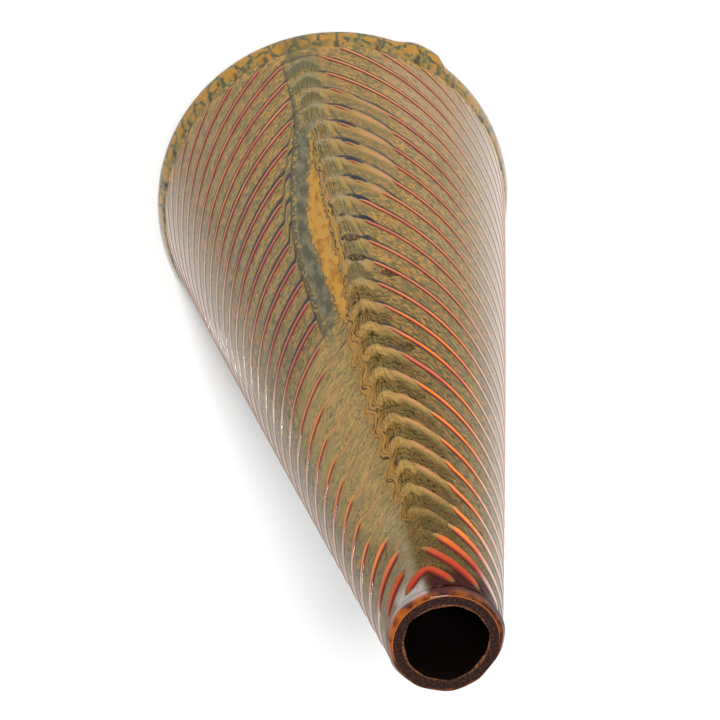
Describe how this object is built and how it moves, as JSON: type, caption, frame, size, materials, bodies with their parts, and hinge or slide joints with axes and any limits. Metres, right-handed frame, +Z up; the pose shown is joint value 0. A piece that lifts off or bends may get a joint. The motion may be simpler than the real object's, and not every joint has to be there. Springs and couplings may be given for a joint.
{
  "type": "cone vase",
  "caption": "Tall cone vase of blown glass with a narrow ground mouth, a wide closed foot and a wound glass trail combed into chevrons at the front seam.",
  "frame": {"origin": "middle of the flat foot that the vase stands on", "axes": "+Z up along the cone's axis to the mouth, -Y to the front, where the turns of the trail are combed into a seam"},
  "size_m": [0.1264, 0.1264, 0.3],
  "materials": {
    "dark_glass": "dark brown glass, ground matt on the flat lip, black inside",
    "marbled_glass": "opaque ochre and grey-green speckled glass, fire polished",
    "seam_glass": "crackled ochre, brown and grey-green glass, combed into small humps",
    "amber_glass": "amber to orange-brown glass, glossy",
    "red_glass": "salmon to orange-red glass thread, glossy, dark maroon on its mouth side"
  },
  "bodies": {
    "root": {"blown_body": "dark_glass", "marbled_overlay": "marbled_glass", "lip_wrap": "amber_glass", "foot_band": "marbled_glass", "combed_seam": "seam_glass", "trail_01": "red_glass", "trail_02": "red_glass", "trail_03": "red_glass", "trail_04": "red_glass", "trail_05": "red_glass", "trail_06": "red_glass", "trail_07": "red_glass", "trail_08": "red_glass", "trail_09": "red_glass", "trail_10": "red_glass", "trail_11": "red_glass", "trail_12": "red_glass", "trail_13": "red_glass", "trail_14": "red_glass", "trail_15": "red_glass", "trail_16": "red_glass", "trail_17": "red_glass", "trail_18": "red_glass", "trail_19": "red_glass", "trail_20": "red_glass", "trail_21": "red_glass", "trail_22": "red_glass", "trail_23": "red_glass", "trail_24": "red_glass", "trail_25": "red_glass", "trail_26": "red_glass", "trail_27": "red_glass", "trail_28": "red_glass", "trail_29": "red_glass", "trail_30": "red_glass", "trail_31": "red_glass", "trail_32": "red_glass", "trail_33": "red_glass", "trail_34": "red_glass", "trail_35": "red_glass", "trail_36": "red_glass", "trail_37": "red_glass"}
  },
  "joints": []
}
